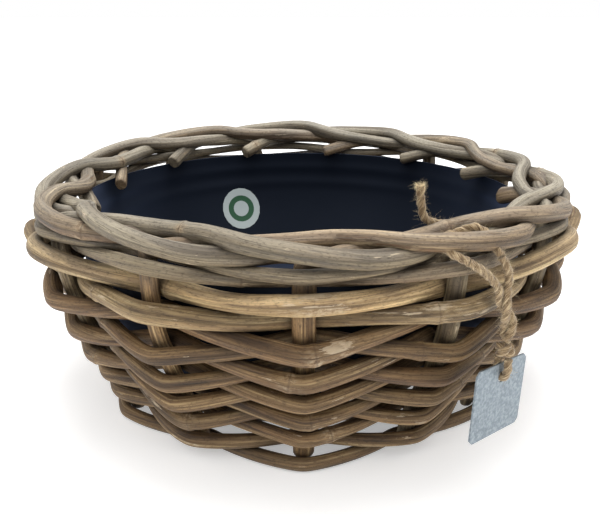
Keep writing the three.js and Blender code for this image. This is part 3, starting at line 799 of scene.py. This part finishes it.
def rod_piece(node, points, diameter, slot, seed, **shape):
    """A rod of the bowl in the place of its node, shifted with the whole wall."""
    mesh = rod_mesh(node, uneven(points), diameter, seed, **shape)
    add_piece(node + "_rattan", mesh, rattan_finishes[slot], "bowl", [node])


def pass_offset(diameter):
    """How far a rod's middle lies from the stakes' where it passes one."""
    return (STAKE_D + diameter) / 2 + PASS_GAP


def pass_share(pitches):
    """1 where a rod passes one side of a stake and -1 on the other, nearly straight between stakes."""
    return np.arcsin(PASS_SHARPNESS * np.cos(np.pi * pitches)) / np.arcsin(PASS_SHARPNESS)


def row_shift(index, outness, turn):
    """How far a rod lies above its even row, in millimetres, where outness is 1 outside a stake and -1
    inside, and turn is the angle from the front. Low rods sag where they pass outside. The loose ones
    ride up there, the first thin one is drawn up against the last, and all four of these rise towards
    the back, the higher the more."""
    if index < LOOSE_WEAVER:
        sag = LOWEST_SAG * (1 - index / LOOSE_WEAVER) * (1 + outness) / 2
        return LOW_INNER_RISE * min(1, index / LOW_RISE_ROWS) * (1 - outness) / 2 - sag
    rise = BACK_RISE * (1 - np.cos(turn)) / 2 * (index + 1 - LOOSE_WEAVER)
    if index > THICK_WEAVERS:
        return rise
    return rise + LOOSE_SWAY * outness + (THIN_LIFT if index == THICK_WEAVERS else 0)


weave_along = along_at(WEAVE_START_Z)
diameter_below = WEAVER_D_LOW
for index in range(THICK_WEAVERS + THIN_WEAVERS):
    is_thin = index >= THICK_WEAVERS
    share = index / (THICK_WEAVERS - 1)
    diameter = WEAVER_D_TOP if is_thin else WEAVER_D_LOW + (WEAVER_D_HIGH - WEAVER_D_LOW) * share
    row_climb = max(diameter, (diameter + diameter_below) / 2) + ROW_GAP
    row_climb += LOOSE_ROW_RISE if index == LOOSE_WEAVER else 0
    next_along = weave_along + row_climb * WEAVER_SPAN / STAKES
    pitches = np.linspace(0, WEAVER_SPAN, WEAVER_SPAN * WEAVE_STEPS + 1)
    stake_at = WEAVE_START_STAKE + WEAVER_SPAN * index + pitches
    turn = turn_at(stake_at)
    outness = -pass_share(pitches)
    # Where they pass outside a stake at the bowl's two sides, the loose rods stand up and out.
    slack = SIDE_SLACK.get(index, 0) * np.sin(turn) ** 4 * (1 + outness) / 2
    even_row = weave_along + (next_along - weave_along) * pitches / WEAVER_SPAN + WEAVE_TILT * np.cos(turn)
    radius, z, out_radius, out_z = wall_at(even_row + row_shift(index, outness, turn) + SIDE_RISE * slack)
    offset = outness * pass_offset(diameter) + SIDE_PUSH * slack
    points = trim(polar(stake_at, radius + offset * out_radius, z + offset * out_z), BUTT_GAP / 2)
    swell, slot = THICK_SWELL, "rattan_brown"
    if is_thin:
        swell, slot = THIN_SWELL, "rattan_grey"
    elif index >= LOOSE_WEAVER:
        slot = "rattan_tan"
    rod_piece(f"weaver_{index + 1:02d}", points, diameter + swell, slot, WEAVER_SEED + index,
              nip=CROSSING_NIP, tone=ROD_TONES.get(index, 1.0), worn=WORN_PLACES.get(index))
    weave_along = next_along
    diameter_below = diameter

# The border stands on the top row, the loop's last, on its height before it rises at the back.
_, level_z, _, level_out_z = wall_at(even_row)
weave_top_z = float((level_z + offset * level_out_z).max())

# Foot rods
# Two level rods woven once round the lower ends of the stakes, in opposite passes.
# They leave an open gap under the weave, and the bowl stands on the lower one.
FOOT_ROD_Z = (4.7, 14.2)
FOOT_BUTT_STAKE = 6
FOOT_SWELL = 0.3
FOOT_WOBBLE = 0.15
FOOT_SEED = 40

for index, z in enumerate(FOOT_ROD_Z):
    radius, _, out_radius, _ = wall_at(along_at(np.array([z])))
    pitches = np.linspace(0, STAKES, STAKES * WEAVE_STEPS + 1)
    side = np.where(pitches < STAKES - 1, -pass_share(pitches), -1)
    points = polar(FOOT_BUTT_STAKE + index + pitches, radius + side * pass_offset(STAKE_D) / out_radius, z)
    points = trim(points, BUTT_GAP / 2)
    rod_piece(f"foot_rod_{index + 1}", points, STAKE_D + FOOT_SWELL, "rattan_brown", FOOT_SEED + index,
              wobble=FOOT_WOBBLE)

# Stakes and rolled border
# Thirteen rods, 10 mm thick. Each runs up the wall, then bends to the right, passes behind one stake,
# before the next and behind the third, and ends inside the rim, where it is cut off.
# The border's way goes by pitches round, and by steps of a rod's thickness out and up.
BORDER_WAY = np.array([
    (0, -0.03, -0.35), (0.22, -0.22, 0.18), (0.45, -0.75, 0.34), (0.7, -1.25, 0.52), (1, -1.48, 0.68),
    (1.22, -1.02, 0.94), (1.43, 0.0, 1.2), (1.7, 0.9, 1.04), (2, 1.32, 0.8), (2.22, 1.32, 0.56),
    (2.43, 1.07, 0.36), (2.7, 0.05, 0.18), (2.85, -0.97, 0.03), (3, -1.77, -0.35), (3.12, -2.25, -0.7),
    (3.2, -2.5, -0.95),
])
STAKE_FOOT_Z = 6
STAKE_SWELL = 2.1
SIDE_PULL = 10
SIDE_SINK = 5
BORDER_START = 0.7
BORDER_WOBBLE = 0.3
BORDER_SPAN_STEPS = 24
BROWN_EVERY = 3
UPRIGHT_STEPS = 120
UPRIGHT_TOP = 2
STAKE_SEED = 60
# The tone of a stake's border at the front, by the stake's number from 0.
STAKE_TONES = {12: 1.35, 11: 0.95, 10: 1.12}
BORDER_STEP = STAKE_D + ROD_GAP
BORDER_SINK = 2.6
border_foot_z = weave_top_z + WEAVER_D_TOP / 2 + STAKE_D / 2 - BORDER_SINK

# The border's way as a smooth curve: each span a cubic whose slope at a station is half the way from
# the station before it to the one after (a Catmull-Rom spline).
stations = padded(BORDER_WAY)
spans = []
for i in range(1, len(stations) - 2):
    t = np.linspace(0, 1, BORDER_SPAN_STEPS, endpoint=i == len(stations) - 3)
    shares = (2 * t ** 2 - t ** 3 - t, 3 * t ** 3 - 5 * t ** 2 + 2, 4 * t ** 2 - 3 * t ** 3 + t,
              t ** 3 - t ** 2)
    spans.append(np.stack(shares, -1) / 2 @ stations[i - 1:i + 3])
way_pitch, way_out, way_up = np.concatenate(spans).T

upright_z = np.linspace(STAKE_FOOT_Z, border_foot_z + BORDER_WAY[0][2] * BORDER_STEP, UPRIGHT_STEPS,
                        endpoint=False)
for index in range(STAKES):
    upright = polar(index + 0 * upright_z, wall_at(along_at(upright_z))[0], upright_z)
    # At the bowl's two sides the border is drawn in a little and lies lower.
    side = np.sin(turn_at(index + way_pitch)) ** 4 * np.clip(way_pitch / BORDER_START, 0, 1)
    border = polar(index + way_pitch, RIM_RADIUS + way_out * BORDER_STEP - SIDE_PULL * side,
                   border_foot_z + way_up * BORDER_STEP - SIDE_SINK * side)
    slot = "rattan_grey" if index % BROWN_EVERY else "rattan_brown"
    rod_piece(f"stake_{index + 1:02d}", np.concatenate([upright, border]), STAKE_D + STAKE_SWELL, slot,
              STAKE_SEED + index, wobble=BORDER_WOBBLE, wide_below=border_foot_z - UPRIGHT_TOP,
              tone=STAKE_TONES.get(index, 1.0))

# Base
# A hoop of the same rattan in the lowest rows, with three and three sticks laid across it, all hidden
# under the liner. Their modelled shape is kept.
def dress_node(node, material):
    """Give a modelled piece the material of its real surface."""
    node_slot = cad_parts[node].material_slots[0]
    node_slot.link = "OBJECT"
    node_slot.material = material


for name in ("base_hoop", "base_stick_x1", "base_stick_x2", "base_stick_x3",
             "base_stick_y1", "base_stick_y2", "base_stick_y3"):
    dress_node(name, rattan_finishes["rattan_brown"])

# Liner
# A thin cup of dark blue-black plastic, thermoformed in one piece, that fills the bowl.
# It ends under the border in a cut edge and its surface has a slight sheen.
LINER_FLOOR_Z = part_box("liner")[0][2] / MM
LINER_TOP_Z = 135
LINER_WALL = 0.8
LINER_CORNER = 9
LINER_CORNER_STEPS = 14
LINER_REACH = 16.8
LINER_BEADS = ((122, 0.7), (108, 0.6))
LINER_BEAD_WIDTH = 4.5
LINER_ROWS = 120
LINER_SIDES = 240
LINER_MIDDLE_HOLE = 0.01
# The plastic's waves in a metre each way.
LINER_WAVES = (28, 28, 28)


def liner_radius(z):
    """The wall line's radius less the liner's reach, and less two shallow beads that stiffen the wall,
    each a bell curve of the height."""
    radius, _, out_radius, _ = wall_at(along_at(z))
    beads = sum(depth * bell(z, middle, LINER_BEAD_WIDTH) for middle, depth in LINER_BEADS)
    return radius - LINER_REACH / out_radius - beads


def liner_side(inset):
    """Radius and height of one face of the wall: a quarter circle at the floor, then the weave's line."""
    angle = np.linspace(0, np.pi / 2, LINER_CORNER_STEPS, endpoint=False)
    corner_z = LINER_FLOOR_Z + LINER_CORNER
    corner = LINER_CORNER - inset
    radius = liner_radius(np.array([corner_z])) - LINER_CORNER + corner * np.sin(angle)
    up = np.linspace(corner_z, LINER_TOP_Z, LINER_ROWS)
    return np.concatenate([np.stack([radius, LINER_FLOOR_Z + inset + corner * (1 - np.cos(angle))], -1),
                           np.stack([liner_radius(up) - inset, up], -1)])


liner_profile = np.concatenate([
    [(LINER_MIDDLE_HOLE, LINER_FLOOR_Z)], liner_side(0),
    liner_side(LINER_WALL)[::-1], [(LINER_MIDDLE_HOLE, LINER_FLOOR_Z + LINER_WALL)]])
liner_turn = np.linspace(0, 2 * np.pi, LINER_SIDES, endpoint=False)
liner_out, liner_z = liner_profile[:, :1], np.repeat(liner_profile[:, 1:], LINER_SIDES, axis=1)
liner_rings = np.stack([liner_out * np.cos(liner_turn), liner_out * np.sin(liner_turn), liner_z], -1)
liner_mesh = surface("liner", liner_rings * MM)

# Smooth thermoformed plastic: nearly black with a little blue, slightly uneven, with a soft sheen.
liner_material, liner_tree, liner_shader = new_material(
    "blue_black_thermoformed_plastic", Base_Color=srgb("#04080F"), Roughness=0.5, IOR=1.49,
    Sheen_Weight=0.8, Sheen_Roughness=0.45, Sheen_Tint=srgb("#8FA0C8"),
    Specular_IOR_Level=0.24, Specular_Tint=srgb("#AEBBD8"))
liner_waves = noise(liner_tree, own_place(liner_tree), LINER_WAVES, 2)
relief(liner_tree, liner_shader, (liner_waves, 0.35, 1.2 * MM))
add_piece("liner_plastic", liner_mesh, liner_material, "bowl", ["liner"])

# Sticker
# A round paper label, cut out and stuck on the liner's back wall, with a plain green ring printed on
# it. Its modelled shape is kept.
STICKER_RING_REACH = 9.8 * MM
STICKER_RING_WIDTH = 5 * MM
PAPER = "#A9B3B2"
RING_GREEN = "#104A2A"

sticker_material, sticker_tree, sticker_shader = new_material(
    "printed_paper_label", Roughness=0.55, IOR=1.5)
sticker_middle = np.mean(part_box("sticker"), axis=0).tolist()
from_middle = add_node(sticker_tree, "ShaderNodeVectorMath", {
    0: own_place(sticker_tree), 1: sticker_middle}, operation="DISTANCE").outputs["Value"]
off_ring = maths(sticker_tree, "SUBTRACT", from_middle, STICKER_RING_REACH)
off_ring = maths(sticker_tree, "ABSOLUTE", off_ring)
on_ring = maths(sticker_tree, "LESS_THAN", off_ring, STICKER_RING_WIDTH / 2)
sticker_colour = mix(sticker_tree, on_ring, srgb(PAPER), srgb(RING_GREEN))
sticker_tree.links.new(sticker_colour, sticker_shader.inputs["Base Color"])
dress_node("sticker", sticker_material)

# Tag
# A thin plate of galvanised sheet, cut with small corners and one punched hole. Its face is dull and
# mottled with faint dents. Its modelled shape is kept.
# The zinc's mottles and dents in a metre each way.
MOTTLES = (520, 520, 520)
DENTS = (1400, 1400, 1400)

tag_material, tag_tree, tag_shader = new_material("dull_galvanised_sheet", Metallic=0.85)
mottle = noise(tag_tree, own_place(tag_tree), MOTTLES, 6)
dent = noise(tag_tree, own_place(tag_tree), DENTS, 2)
tag_colour = ramp(tag_tree, mottle, (0.36, "#78838B"), (0.5, "#8C969D"), (0.64, "#A1AAB0"))
tag_tree.links.new(tag_colour, tag_shader.inputs["Base Color"])
tag_tree.links.new(maths(tag_tree, "MULTIPLY_ADD", mottle, 0.5, 0.25), tag_shader.inputs["Roughness"])
relief(tag_tree, tag_shader, (maths(tag_tree, "ADD", mottle, dent), 0.8, 0.5 * MM))
dress_node("tag", tag_material)

# Floor and light
# A white table under a sky that is brightest overhead, as under a large softbox, with one soft light
# above and two beside the camera.
FLOOR_SIZE = 40
FLOOR_BACK = 10
SKY_LEVEL = 0.25
SKY_ABOVE = 1.15

bpy.ops.mesh.primitive_plane_add(size=FLOOR_SIZE, location=(0, FLOOR_BACK, 0))
floor = bpy.context.object
floor.name = "floor"
# Matt white paint. Its own faint light keeps the table as bright as the backdrop.
floor_material, _, _ = new_material("white_table", Base_Color=srgb("#EDEDED"), Roughness=0.9,
                                    Emission_Color=srgb("#FFFFFF"), Emission_Strength=0.37)
floor.data.materials.append(floor_material)

world = bpy.data.worlds.new("studio")
bpy.context.scene.world = world
world.use_nodes = True
world_tree = world.node_tree
is_camera = add_node(world_tree, "ShaderNodeLightPath").outputs["Is Camera Ray"]
direction = add_node(world_tree, "ShaderNodeTexCoord").outputs["Generated"]
ray_up = add_node(world_tree, "ShaderNodeSeparateXYZ", {0: direction}).outputs["Z"]
steepness = maths(world_tree, "ABSOLUTE", ray_up)
brightness = maths(world_tree, "MULTIPLY_ADD", steepness, SKY_ABOVE, SKY_LEVEL)
sky = world_tree.nodes["Background"]
sky.inputs["Color"].default_value = (1, 1, 1, 1)
world_tree.links.new(brightness, sky.inputs["Strength"])
backdrop = add_node(world_tree, "ShaderNodeBackground", {"Color": (1, 1, 1, 1), "Strength": 1.0})
chosen = add_node(world_tree, "ShaderNodeMixShader", {
    0: is_camera, 1: sky.outputs[0], 2: backdrop.outputs[0]})
world_tree.links.new(chosen.outputs[0], world_tree.nodes["World Output"].inputs["Surface"])


def soft_light(name, place, aim, size, power):
    """A round soft light of a size in metres and a power in watts, aimed at a place."""
    light = bpy.data.lights.new(name, "AREA")
    light.shape = "DISK"
    light.size = size
    light.energy = power
    lamp = bpy.data.objects.new(name, light)
    bpy.context.scene.collection.objects.link(lamp)
    lamp.location = place
    lamp.rotation_euler = (Vector(aim) - Vector(place)).to_track_quat("-Z", "Y").to_euler()


soft_light("above", place=(0, 0.15, 1.5), aim=(0, 0, 0.1), size=1.1, power=16)
soft_light("front_left", place=(-1.1, -1.4, 1.3), aim=(0, 0, 0.08), size=0.8, power=4)
soft_light("front_right", place=(1.3, -1.1, 1.0), aim=(0, 0, 0.08), size=0.8, power=3)
bpy.context.scene.view_settings.view_transform = "Standard"
